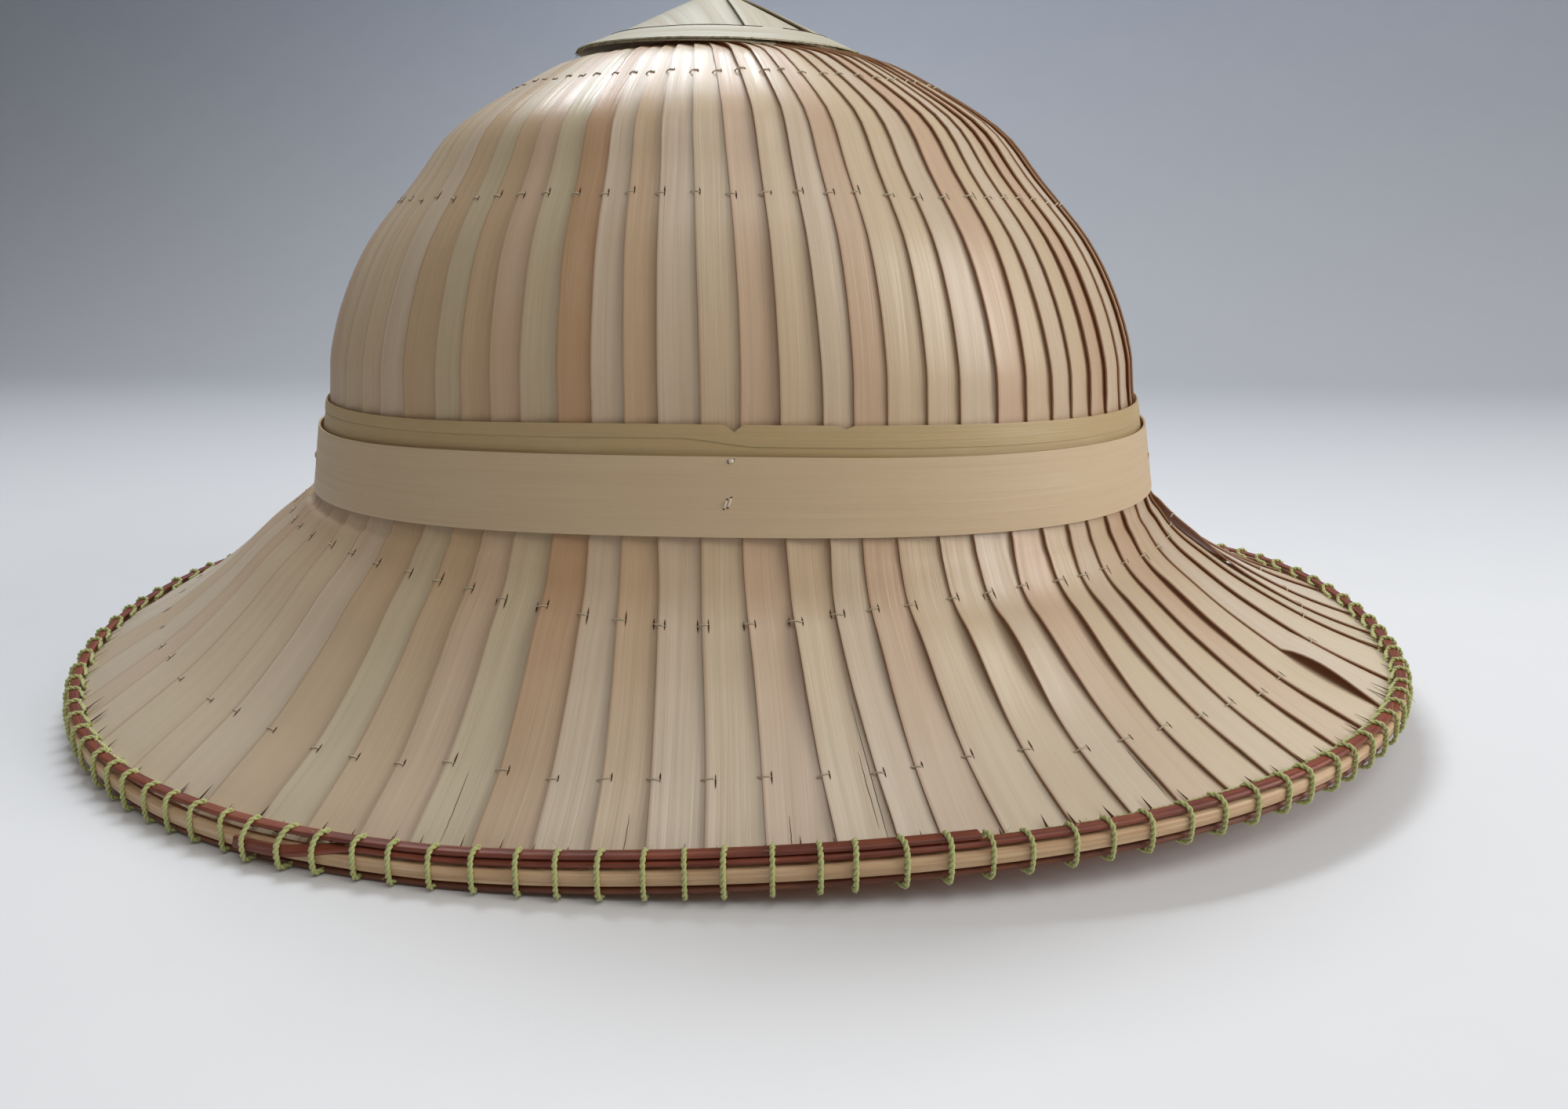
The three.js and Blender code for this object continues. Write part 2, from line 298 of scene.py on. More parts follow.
class Nodes:
    """A material's node tree with short calls for the nodes used here."""

    def __init__(self, name, roughness, specular):
        self.material = bpy.data.materials.new(name)
        self.material.use_nodes = True
        self.tree = self.material.node_tree
        self.shader = self.tree.nodes["Principled BSDF"]
        self.shader.inputs["Roughness"].default_value = roughness
        self.shader.inputs["Specular IOR Level"].default_value = specular

    def node(self, kind, **values):
        node = self.tree.nodes.new(kind)
        for key, value in values.items():
            if hasattr(node, key):
                setattr(node, key, value)
            else:
                self.feed(node.inputs[key.replace("_", " ")], value)
        return node

    def feed(self, socket, value):
        if isinstance(value, bpy.types.NodeSocket):
            self.tree.links.new(value, socket)
        else:
            socket.default_value = value

    def filled(self, kind, items, output, **values):
        """Output of a new node whose sockets are set or linked by name or number."""
        node = self.node(kind, **values)
        for key, item in items.items():
            self.feed(node.inputs[key], item)
        return node.outputs[output]

    def math(self, operation, a, b=0.0):
        return self.filled("ShaderNodeMath", {0: a, 1: b}, 0, operation=operation)

    def remap(self, value, low, high, out_low=0.0, out_high=1.0):
        items = {"Value": value, "From Min": low, "From Max": high, "To Min": out_low, "To Max": out_high}
        return self.filled("ShaderNodeMapRange", items, "Result", clamp=True)

    def mix(self, share, a, b):
        items = {"Factor": share, "A": a, "B": b}
        return self.filled("ShaderNodeMix", items, "Result", data_type="RGBA")

    def attribute(self, name, output="Fac"):
        return self.node("ShaderNodeAttribute", attribute_name=name).outputs[output]

    def noise(self, vector, scale, detail=4.0, rough=0.6, distort=0.0):
        items = {"Vector": vector, "Scale": scale, "Detail": detail, "Roughness": rough}
        return self.filled("ShaderNodeTexNoise", items | {"Distortion": distort}, "Fac")

    def stretch(self, vector, scale):
        return self.filled("ShaderNodeMapping", {"Vector": vector, "Scale": scale}, "Vector")

    def bump(self, height, strength, distance, normal=None):
        items = {"Height": height, "Strength": strength, "Distance": distance}
        if normal is not None:
            items["Normal"] = normal
        return self.filled("ShaderNodeBump", items, "Normal")

    def finish(self, colour=None, roughness=None, normal=None):
        for key, value in (("Base Color", colour), ("Roughness", roughness), ("Normal", normal)):
            if value is not None:
                self.feed(self.shader.inputs[key], value)
        return self.material


TINTS = dict(
    cream=srgb("d9c4a5"), pale=srgb("dac7ae"), pink=srgb("d5b89c"),
    green=srgb("d1c2a2"), tan=srgb("cfb28e"), orange=srgb("c39c76"),
)
TINT_ORDER = list(TINTS)
# A painted glow for light through the thin leaf, seen on its under side, and how far painted shade makes
# the leaf browner by the band.
NO_GLOW, LEAF_GLOW = (0.0, 0.0, 0.0, 1.0), (0.045, 0.015, 0.005, 1.0)
BAND_SHADE_REACH = 45 * MM
# Angle of the strip whose length measures the fibres' run.
FRONT = -1.57


def leaf_material(name, tints, roughness, edge_brown=0.0, blotch=1.0, fine=1.0, painted_shading=None):
    """Dry palm leaf. UV: x across and y along the fibres, metres; tone picks the strip's tint.

    Last argument, the painted shading: lengths along the fibres of the hatband, near which painted shade
    browns the leaf, and of the brim's part that painted light makes paler, from and to.
    """
    n = Nodes(name, roughness, 0.6)
    uv = n.node("ShaderNodeTexCoord").outputs["UV"]
    tone = n.attribute("tone")
    shift_x, shift_y = n.math("MULTIPLY", tone, 0.37), n.math("MULTIPLY", tone, 0.91)
    shift = n.node("ShaderNodeCombineXYZ", X=shift_x, Y=shift_y).outputs[0]
    at = n.filled("ShaderNodeVectorMath", {0: uv, 1: shift}, 0, operation="ADD")
    ramp = n.node("ShaderNodeValToRGB")
    ramp.color_ramp.interpolation = "CONSTANT"
    while len(ramp.color_ramp.elements) < len(tints):
        ramp.color_ramp.elements.new(0.5)
    for k, (element, tint) in enumerate(zip(ramp.color_ramp.elements, tints)):
        element.position = k / len(tints)
        element.color = tint
    n.feed(ramp.inputs["Fac"], n.math("FRACT", tone))
    base = ramp.outputs["Color"]
    fibres = n.noise(n.stretch(at, (2600, 26, 1)), 1.0, 3, 0.65)
    bands = n.noise(n.stretch(at, (420, 9, 1)), 1.0, 3, 0.6, 0.3)
    cloud = n.noise(n.stretch(at, (60, 22, 1)), 1.0, 4, 0.6)
    streak = n.noise(n.stretch(at, (900, 5, 1)), 1.0, 2, 0.5)
    colour = n.mix(n.remap(bands, 0.35, 0.7, 0.0, 0.55 * blotch), base, srgb("b79a78"))
    colour = n.mix(n.remap(cloud, 0.52, 0.75, 0.0, 0.4 * blotch), colour, srgb("c49c7a"))
    colour = n.mix(n.remap(cloud, 0.45, 0.2, 0.0, 0.35 * blotch), colour, srgb("e3d5b8"))
    colour = n.mix(n.remap(streak, 0.66, 0.76, 0.0, 0.35 * fine), colour, srgb("8d7350"))
    colour = n.mix(n.remap(fibres, 0.3, 0.7, 0.16 * fine, 0.0), colour, srgb("8a7455"))
    if painted_shading:
        along = n.node("ShaderNodeSeparateXYZ", Vector=uv).outputs["Y"]
        band, light_from, light_to = painted_shading
        from_band = n.math("ABSOLUTE", n.math("SUBTRACT", along, band))
        # Painted shade: the leaf is browner close to the hatband.
        colour = n.mix(n.remap(from_band, 0.0, BAND_SHADE_REACH, 0.42, 0.0), colour, srgb("a8825c"))
        # Painted light: the leaf turns paler along the brim towards the rim.
        colour = n.mix(n.remap(along, light_from, light_to, 0.0, 0.35), colour, srgb("e6dcc8"))
    if edge_brown:
        across = n.attribute("edge")
        colour = n.mix(n.remap(across, 0.0, 1.0, 0.0, edge_brown), colour, srgb("84502e"))
        # Painted glow on the under side, standing in for light through the thin leaf.
        glow = n.mix(n.remap(across, 0.55, 1.0), NO_GLOW, LEAF_GLOW)
        n.material.cycles.emission_sampling = "NONE"
        n.feed(n.shader.inputs["Emission Color"], glow)
        n.shader.inputs["Emission Strength"].default_value = 1.0
    rough = n.remap(bands, 0.3, 0.7, roughness - 0.08, roughness + 0.12)
    normal = n.bump(fibres, 0.35 * fine, 0.00012)
    normal = n.bump(bands, 0.5, 0.0004, normal)
    return n.finish(colour, rough, normal)


ARC_ROWS = np.linspace(0, RIM, 200)
ARC = path_length(surface(ARC_ROWS, FRONT))
# Lengths along the front strip for the painted shade by the hatband and the painted light on the brim.
PAINTED_SHADING_SPANS = tuple(np.interp([FOOT - 0.5, FOOT + 1.5, RIM - 0.5], ARC_ROWS, ARC))
strip_material = leaf_material(
    "strip_leaf", list(TINTS.values()), 0.35, edge_brown=0.9, blotch=0.7, fine=0.8, painted_shading=PAINTED_SHADING_SPANS,
)
cap_material = leaf_material("cap_leaf", [srgb("bbb7a0"), srgb("b2ae97")], 0.55, blotch=0.5)
upper_material = leaf_material("upper_band_leaf", [srgb("b9a070")], 0.5, blotch=0.6)
main_material = leaf_material("main_band_leaf", [srgb("ceb592")], 0.5, blotch=0.35, fine=0.5)


def split_material(name, low, high, dark):
    """Rattan split: fine grooves along it, and slow changes of colour."""
    n = Nodes(name, 0.42, 0.5)
    uv = n.node("ShaderNodeTexCoord").outputs["UV"]
    grooves = n.noise(n.stretch(uv, (1500, 14, 1)), 1.0, 3, 0.7)
    slow = n.noise(n.stretch(uv, (120, 40, 1)), 1.0, 4, 0.6)
    colour = n.mix(n.remap(slow, 0.3, 0.7), low, high)
    colour = n.mix(n.remap(grooves, 0.45, 0.75, 0.0, 0.75), colour, dark)
    rough = n.remap(grooves, 0.3, 0.7, 0.32, 0.57)
    return n.finish(colour, rough, n.bump(grooves, 0.5, 0.0003))


dark_material = split_material("dark_rattan", srgb("692d1e"), srgb("9a5138"), srgb("30140e"))
pale_material = split_material("pale_rattan", srgb("c9a278"), srgb("e0c19c"), srgb("9c744c"))
brown_material = split_material("brown_rattan", srgb("5b3020"), srgb("94583a"), srgb("3a1d12"))


def twisted_thread_material():
    """Yellow-green thread with paler fuzz."""
    n = Nodes("green_thread", 0.6, 0.3)
    n.shader.inputs["Sheen Weight"].default_value = 0.3
    uv = n.node("ShaderNodeTexCoord").outputs["UV"]
    fuzz = n.noise(n.stretch(uv, (1800, 1800, 1)), 1.0, 3, 0.6)
    slow = n.noise(n.stretch(uv, (100, 60, 1)), 1.0, 2, 0.5)
    colour = n.mix(n.remap(slow, 0.3, 0.7), srgb("9da35a"), srgb("c3c781"))
    colour = n.mix(n.remap(fuzz, 0.35, 0.7, 0.0, 0.35), colour, srgb("dcdeac"))
    return n.finish(colour, None, n.bump(fuzz, 0.6, 0.0002))


def plain_material(name, colour, roughness, grain):
    """One colour with darker specks."""
    n = Nodes(name, roughness, 0.3)
    place = n.node("ShaderNodeTexCoord").outputs["Object"]
    speck = n.noise(n.stretch(place, (1, 1, 1)), 900.0, 3, 0.6)
    tone = n.mix(n.remap(speck, 0.3, 0.7, 0.0, grain), colour, [c * 0.5 for c in colour[:3]] + [1.0])
    return n.finish(tone, None, n.bump(speck, 0.2, 0.0002))


thread_material = twisted_thread_material()
stitch_material = plain_material("pale_stitch", srgb("cdc1a6"), 0.6, 0.4)
band_thread_material = plain_material("band_thread", srgb("e6dcc8"), 0.6, 0.3)
nick_material = plain_material("dark_nick", srgb("573420"), 0.85, 0.5)

# Leaf strips
# Free edges charted where the photograph shows them: angle at the hatband's foot,
# lean at the rim (both degrees) and tint.
CHART = [
    (-133.3, 0.0, "tan"), (-127.6, 0.0, "green"), (-123.2, 0.0, "tan"), (-118.5, 0.0, "pink"),
    (-113.8, 0.0, "green"), (-108.3, -0.2, "orange"), (-103.4, 0.3, "pale"), (-98.9, 0.7, "tan"),
    (-94.0, 0.8, "pale"), (-88.2, 0.0, "cream"), (-82.6, -0.2, "pink"), (-77.2, 0.1, "cream"),
    (-71.6, -0.8, "pale"), (-67.2, -1.6, "pink"), (-62.7, -1.3, "cream"), (-57.2, -1.6, "cream"),
    (-52.6, -1.5, "pale"), (-47.3, -3.0, "pink"), (-42.3, -3.4, "cream"), (-38.2, -3.6, "pale"),
    (-34.3, -3.6, "cream"), (-30.0, -3.4, "pink"), (-25.7, -3.2, "cream"), (-20.6, -3.2, "pale"),
    (-14.6, -2.4, "cream"),
]
# Numbers of the strip that has buckled by the rim and of one that stands open, the rows
# where they do, and how far.
BUCKLED, BUCKLE_ROW, BUCKLE_LIFT = 23, 14.0, 2.3 * MM
OPEN_STRIP, OPEN_ROW, OPEN_LIFT = 26, 11.3, 1.7 * MM
# Strips whose free edge gapes on the brim, and how far, mm.
GAPES = {10: 0.5, 14: 1.0, 15: 1.3, 16: 1.9, 17: 1.0, 18: 0.8, 19: 0.7, 20: 0.6}
# The buckled strip and those behind it lie close. The lap is wide there and under a gape.
CLOSE_STRIPS = slice(BUCKLED, 50)
WIDE_LAP = 7 * MM
BUCKLED_LAP = 10 * MM
# Row where the hatbands start to cover the strips.
BAND_ROW = 8


def strip_plan():
    """Angle of each free edge at the foot, its lean at the rim, and its tint, all round."""
    hidden = STRIP_COUNT - len(CHART)
    start, stop = CHART[-1][0], CHART[0][0] + 360
    plan = [dict(edge=math.radians(a), lean=math.radians(b), tint=c) for a, b, c in CHART]
    for k in range(1, hidden + 1):
        middle = start + (stop - start) * k / (hidden + 1)
        tint = rng.choice(TINT_ORDER, p=[0.3, 0.2, 0.2, 0.12, 0.13, 0.05])
        edge = math.radians(middle + rng.uniform(-0.7, 0.7))
        lean = math.radians(rng.uniform(-0.5, 0.5))
        plan.append(dict(edge=edge, lean=lean, tint=str(tint)))
    return plan


plan = strip_plan()
STATIONS = np.concatenate([
    np.linspace(0, BAND_ROW, 33)[:-1], np.linspace(BAND_ROW, FOOT, 5)[:-1], np.linspace(FOOT, RIM, 43),
])
ALONG = path_length(surface(STATIONS, FRONT))
STITCH_ROWS = dict(cap=2.35, crown=4.4, root=10.6, brim=14.35)


def edge_angle(strip, s):
    """Angle of a strip's free edge at row position s."""
    s = np.asarray(s, float)
    out = np.clip((s - FOOT) / (RIM - FOOT), 0, 1)
    wander = strip["wander"] * np.sin(s * 0.9 + strip["phase"])
    return strip["edge"] + swing(FOOT) - swing(s) + strip["lean"] * out**0.8 + wander


def gape(strip, s):
    """How far the free edge stands up: more between rows of stitches, and on the +X side."""
    stitched = np.array([0.0, *STITCH_ROWS.values(), RIM])
    near = np.min(np.abs(np.asarray(s, float)[:, None] - stitched[None, :]), axis=1)
    open_side = 0.5 + 0.5 * math.cos(strip["edge"] + math.radians(15))
    hidden = np.where((s > BAND_ROW - 0.1) & (s < FOOT + 0.15), 0.2, 1.0)
    brim = np.exp(-((s - 12.4) / 1.1) ** 2) * strip["brim_gape"] * open_side
    amount = ((0.22 + 0.33 * open_side) * strip["gape"] + brim) * np.clip(near / 1.1, 0, 1) * hidden
    return amount * MM


for strip in plan:
    strip.update(
        wander=math.radians(rng.uniform(-0.25, 0.25)), phase=rng.uniform(0, 6.28),
        gape=rng.uniform(0.6, 1.3), brim_gape=rng.uniform(0, 1) ** 2.5 * 1.3,
        camber=rng.uniform(-0.12, 0.2) * MM, overlap=rng.uniform(3.0, 4.5) * MM,
    )
plan[BUCKLED - 1]["overlap"] = BUCKLED_LAP
for k, size in GAPES.items():
    plan[k]["brim_gape"] = size
    plan[k - 1]["overlap"] = WIDE_LAP
for strip in plan[CLOSE_STRIPS]:
    strip.update(gape=0.35 * strip["gape"], brim_gape=0.0, overlap=WIDE_LAP)


def strip_grid(k, s, across):
    """Top points of strip k at rows s and shares across it (0 is the free edge), and the way out."""
    s = np.asarray(s, float)
    strip, follower = plan[k], plan[(k + 1) % STRIP_COUNT]
    left = edge_angle(strip, s)
    right = edge_angle(follower, s)
    right = left + np.mod(right - left, 2 * math.pi)
    radius = np.linalg.norm(surface(s, left)[..., :2], axis=-1)
    right = right + strip["overlap"] / np.maximum(radius, 30 * MM)
    lift = gape(strip, s)
    if k == OPEN_STRIP:
        lift = lift + OPEN_LIFT * np.exp(-((s - OPEN_ROW) / 1.5) ** 2)
    if k == BUCKLED:
        bow = np.clip((s - BUCKLE_ROW) / 1.9, 0, 1)
        lift = lift + BUCKLE_LIFT * np.sin(math.pi * bow**0.7) ** 1.2
    start = surface(s, left, lift)
    end = surface(s, right, -0.95 * MM)
    halfway = (left + right) / 2
    middle = surface(s, halfway, lift * 0.2 - 0.45 * MM)
    out = unit(surface(s, halfway, 1 * MM) - surface(s, halfway, 0.0))
    v = np.asarray(across, float)[None, :, None]
    sag = ((middle - (start + end) / 2) * out).sum(-1)
    bulge = 4 * v * (1 - v) * (0.6 * sag[:, None, None] + strip["camber"]) * out[:, None, :]
    return start[:, None] * (1 - v) + end[:, None] * v + bulge, out


def build_strips():
    """All strips as thin sheets in one mesh; edge marks the under side and half the free edge."""
    strips = Mesh()
    edges = []
    across = np.array([0.0, 0.04, 0.3, 0.62, 1.0])
    for k, strip in enumerate(plan):
        top, out = strip_grid(k, STATIONS, across)
        bottom = top - out[:, None, :] * LEAF
        width = np.linalg.norm(top[:, -1] - top[:, 0], axis=1)
        uv = np.stack([across[None, :] * width[:, None], np.repeat(ALONG[:, None], len(across), 1)], -1)
        tone = k + (TINT_ORDER.index(strip["tint"]) + 0.5) / len(TINT_ORDER)
        strips.sheet(top, bottom, uv, tone)
        mark = np.zeros((len(STATIONS), len(across)))
        mark[:, 0] = 0.5
        edges.append(np.concatenate([mark.ravel(), np.ones(mark.size)]))
    return strips.build("leaf_strips", 35, strip_material, edge=np.concatenate(edges))


leaf_strips = build_strips()
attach(leaf_strips, "root")
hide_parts(*LEAF_NODES)

# Hatbands
ROW_STEPS = np.linspace(6, FOOT, 241)
ROW_HEIGHTS = smooth_rows(ROW_STEPS, row_points(np.zeros(len(ROW_STEPS)))[1])
ROW_UP = (ROW_HEIGHTS - foot_level(0.0)) / (CROWN_RISE + FOOT_DIP)


def crown_row(height, angle):
    """Row position of a height over the hatband's foot."""
    rise = FOOT_HEIGHT + CROWN_RISE - foot_level(angle)
    return np.interp(-height / rise, -ROW_UP, ROW_STEPS)


TURN = np.linspace(0, 2 * math.pi, 289)


def wave(seed, size):
    """A smooth closed wander round the hat."""
    own = np.random.default_rng(seed)
    total = np.zeros_like(TURN)
    for n in range(2, 9):
        total += own.normal() / n * np.cos(n * TURN + own.uniform(0, 6.28))
    return total * size


def ribbon(mesh, lower, upper, inner, thick, rows, tone, belly=0.0):
    """A leaf ribbon round the crown between two heights; inner is its clearance at foot and top."""
    share = np.linspace(0, 1, rows)
    height = lower[None, :] + (upper - lower)[None, :] * share[:, None]
    angle = np.broadcast_to(TURN, height.shape)
    s = crown_row(height, angle)
    bulge = belly * 4 * (share * (1 - share))[:, None]
    clear = np.broadcast_to(inner[0] + (inner[1] - inner[0]) * share[:, None] + bulge, s.shape)
    top = surface(s, angle, clear + thick)
    bottom = surface(s, angle, clear)
    run = TURN * FOOT_RADIUS
    uv = np.stack([height, np.broadcast_to(run, s.shape)], -1)
    mesh.sheet(top[::-1], bottom[::-1], uv[::-1], tone)


BAND_HEIGHT = FOOT_HIGH[2] - FOOT_LOW[2] - 2 * FOOT_DIP
UPPER_LOW, UPPER_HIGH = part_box("upper_band")
UPPER_BOTTOM = UPPER_LOW[2] - FOOT_LOW[2]
UPPER_TOP = UPPER_HIGH[2] - FOOT_HEIGHT - FOOT_DIP

MAIN_CLEAR = (0.45 * MM, 1.5 * MM)
MAIN_THICK = 0.5 * MM
MAIN_BELLY = 0.12 * MM

main_ribbon = Mesh()
foot_line = wave(11, 0.18 * MM)
top_line = BAND_HEIGHT + wave(12, 0.18 * MM)
ribbon(main_ribbon, foot_line, top_line, MAIN_CLEAR, MAIN_THICK, 9, 0.3, MAIN_BELLY)
main_band = main_ribbon.build("hatband_main", 40, main_material)
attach(main_band, "root")
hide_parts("main_band")


def band_place(angle, height, above):
    """A point above the main band's outer side, at an angle and a height over its foot."""
    share = height / BAND_HEIGHT
    inside = MAIN_CLEAR[0] + (MAIN_CLEAR[1] - MAIN_CLEAR[0]) * share
    clear = inside + 4 * MAIN_BELLY * share * (1 - share) + MAIN_THICK + above
    return surface(crown_row(height, angle), angle, clear)


# The upper band is folded over along its top; the fold is deeper over half of the turn.
FOLD_START = math.radians(-92)
FOLD_EASE = math.radians(12)
UPPER_CLEAR = (0.35 * MM, 0.35 * MM)
FOLD_CLEAR = (0.6 * MM, 0.55 * MM)
# Small nicks in its top edge: angle in degrees, depth in mm.
UPPER_NICKS = [
    dict(angle=-84.2, depth=1.5),
    dict(angle=-68.7, depth=0.8),
    dict(angle=140.0, depth=1.0),
]

upper_ribbon = Mesh()
fold_near = np.mod(TURN - FOLD_START, 2 * math.pi)
fold_share = smoothstep(np.minimum(fold_near, math.pi - fold_near), 0, FOLD_EASE)
fold_line = UPPER_TOP - (2.9 + 1.7 * fold_share) * MM + wave(13, 0.15 * MM)
upper_line = UPPER_TOP + wave(14, 0.15 * MM) - 0.2 * MM
for nick in UPPER_NICKS:
    upper_line[np.argmin(np.abs(TURN - math.radians(nick["angle"] % 360)))] -= nick["depth"] * MM
upper_foot = np.full_like(TURN, UPPER_BOTTOM)
ribbon(upper_ribbon, upper_foot, upper_line - 0.5 * MM, UPPER_CLEAR, 0.35 * MM, 6, 0.6)
ribbon(upper_ribbon, fold_line, upper_line, FOLD_CLEAR, 0.25 * MM, 5, 0.2, 0.1 * MM)
upper_band = upper_ribbon.build("hatband_upper", 40, upper_material)
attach(upper_band, "root")
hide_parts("upper_band")

# Short stitches through the hatbands: angle and lean in degrees, share of the main
# band's height, and length in mm.
BAND_STITCHES = [
    dict(angle=-84.2, share=0.955, lean=86, long=1.3),
    dict(angle=-84.2, share=0.935, lean=80, long=1.2),
    dict(angle=-85.0, share=0.41, lean=24, long=1.9),
    dict(angle=-84.45, share=0.43, lean=24, long=2.1),
    dict(angle=-162.5, share=0.50, lean=12, long=2.0),
    dict(angle=-12.0, share=0.55, lean=-10, long=1.8),
    dict(angle=74.0, share=0.52, lean=14, long=1.9),
    dict(angle=98.0, share=0.90, lean=8, long=1.0),
]


def build_band_stitches():
    """Short slanted threads over the main band, each with a dark hole at its ends."""
    stitches, holes = Mesh(), Mesh()
    for entry in BAND_STITCHES:
        angle, lean = math.radians(entry["angle"]), math.radians(entry["lean"])
        t = np.linspace(-1, 1, 9)
        high = entry["share"] * BAND_HEIGHT + t * math.cos(lean) * entry["long"] / 2 * MM
        turn = angle + t * math.sin(lean) * entry["long"] / 2 * MM / FOOT_RADIUS
        above = (0.18 - 0.75 * np.abs(t) ** 5) * MM
        stitches.tube(band_place(turn, high, above), 0.21 * MM, 6)
        for end in (0, -1):
            u = np.linspace(-1, 1, 7)
            half = 0.22 * MM * np.sqrt(np.clip(1.02 - u**2, 0, 1)) / FOOT_RADIUS
            level = high[end] + u * 0.22 * MM + t[end] * 0.1 * MM
            sides = [band_place(turn[end] + side * half, level, 0.05 * MM) for side in (-1, 1)]
            top = np.stack(sides, 1)[::-1]
            holes.sheet(top, top - 0.02 * MM * outward(turn[end]))
    return stitches, holes


band_threads, band_holes = build_band_stitches()
add_trim("band_stitches", band_threads, band_thread_material)
add_trim("band_nicks", band_holes, nick_material)

# Cap
CAP_LOW, CAP_HIGH = (np.array(c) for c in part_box("top_cap"))
CAP_RADIUS = (CAP_HIGH - CAP_LOW)[0] / 2
CAP_MIDDLE = (CAP_LOW + CAP_HIGH)[0] / 2
CAP_FOOT = CAP_LOW[2]
CAP_PEAK = CAP_HIGH[2] - 0.6 * MM
SEAMS = [math.radians(a) for a in (-71, -30, 110)]
SEAM_LAP = math.radians(9)


def cap_point(share, angle, lift=0.0):
    """Point of the cap's top; share is out from the peak."""
    share, angle, lift = np.broadcast_arrays(share, angle, lift)
    profile = np.interp(share, [0, 0.06, 0.4, 0.8, 1.0], [1.0, 0.955, 0.62, 0.23, 0.06])
    droop = 0.9 * MM * share**4 * np.cos(angle - math.radians(-60))
    height = CAP_FOOT + (CAP_PEAK - CAP_FOOT) * profile + lift - droop
    x = CAP_MIDDLE + CAP_RADIUS * share * np.cos(angle)
    return np.stack([x, CAP_RADIUS * share * np.sin(angle), height], -1)


def build_cap():
    """Three leaves that lap at the seams, and the turned hem over their edge."""
    cap = Mesh()
    shares = np.concatenate([np.linspace(0.005, 0.8, 12), [0.86, 0.93, 0.985]])
    own = np.random.default_rng(31)
    for k, seam in enumerate(SEAMS):
        stop = SEAMS[(k + 1) % 3] + (2 * math.pi if k == 2 else 0)
        angle = np.linspace(seam, stop + SEAM_LAP, 40)
        past = np.clip((angle - seam) / (stop - seam), 0, 1)
        lift = (0.75 * (1 - past) - 0.35 * np.clip((angle - stop) / SEAM_LAP + 0.6, 0, 1)) * MM
        raised = lift[None, :] * np.clip(shares * 3, 0, 1)[:, None]
        top = cap_point(shares[:, None], angle[None, :], raised)
        x, y = top[..., 0], top[..., 1]
        across = x * math.sin(seam) - y * math.cos(seam)
        uv = np.stack([across, x * math.cos(seam) + y * math.sin(seam)], -1)
        cap.sheet(top, top - [0, 0, 0.4 * MM], uv, 0.25 + 0.5 * (k % 2) + k)
    angle = np.linspace(0, 2 * math.pi, 241)
    shares = np.array([0.795, 0.85, 0.92, 1.0])
    ragged = own.normal(size=241) * 0.0025
    ragged[-1] = ragged[0]
    grid = shares[:, None] + ragged[None, :] * np.array([0.5, 0, 0, 1.6])[:, None]
    grid = np.minimum(grid, 1.0)
    top = cap_point(grid, angle[None, :], 0.8 * MM)
    uv = np.stack([grid * CAP_RADIUS, np.broadcast_to(angle * CAP_RADIUS, grid.shape)], -1)
    cap.sheet(top, top - [0, 0, 0.35 * MM], uv, 0.2)
    return cap.build("top_cap_leaf", 30, cap_material)


def build_cap_trim():
    """The frayed fibres of the cap's cut edge and the dark line where its hem ends."""
    fringe, line = Mesh(), Mesh()
    own = np.random.default_rng(37)
    for angle in np.sort(own.uniform(0, 2 * math.pi, 620)):
        base = cap_point(0.985, angle, 0.45 * MM)
        out = outward(angle)
        reach = own.uniform(0.5, 1.5) * MM
        skew = np.array([-out[1], out[0], 0.0]) * own.normal() * 0.5 * MM
        tip = base + out * reach * 0.7 - np.array([0, 0, reach * own.uniform(0.1, 0.9)]) + skew
        fringe.tube(np.array([base, (base + tip) / 2 + out * 0.1 * MM, tip]), 0.055 * MM, 3)
    for start, stop in ((-150, -62), (-52, -14), (40, 150)):
        angle = np.radians(np.arange(start, stop, 1.5))
        wave_in = 0.003 * np.sin(angle * 9) + own.normal(size=len(angle)) * 0.0012
        line.tube(cap_point(0.792 + wave_in, angle, 0.80 * MM), 0.13 * MM, 4)
    return fringe, line


top_cap = build_cap()
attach(top_cap, "root")
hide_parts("top_cap")
cap_fringe, cap_hem_line = build_cap_trim()
add_trim("cap_fringe", cap_fringe, plain_material("green_fringe", srgb("6f6a44"), 0.8, 0.4))
add_trim("cap_hem_line", cap_hem_line, nick_material)


# Rim splits
def rim_point(angle, out, up):
    """A point given from the leaf's edge: out sideways and up from the rim's level."""
    radius = leaf_edge(angle) + out
    return np.stack([radius * np.cos(angle), radius * np.sin(angle), rim_level(angle) + up], -1)


def split_section(width, thick, grooves, depth, points=22):
    """Closed outline of a split, from its middle, with grooves along its top and bottom."""
    turn = np.arange(points) * 2 * math.pi / points
    x = np.sign(np.cos(turn)) * np.abs(np.cos(turn)) ** 0.55 * width / 2
    y = np.sign(np.sin(turn)) * np.abs(np.sin(turn)) ** 0.55 * thick / 2
    ripple = 1 - depth * (0.5 + 0.5 * np.cos(x / width * 2 * math.pi * grooves))
    return x, y * ripple


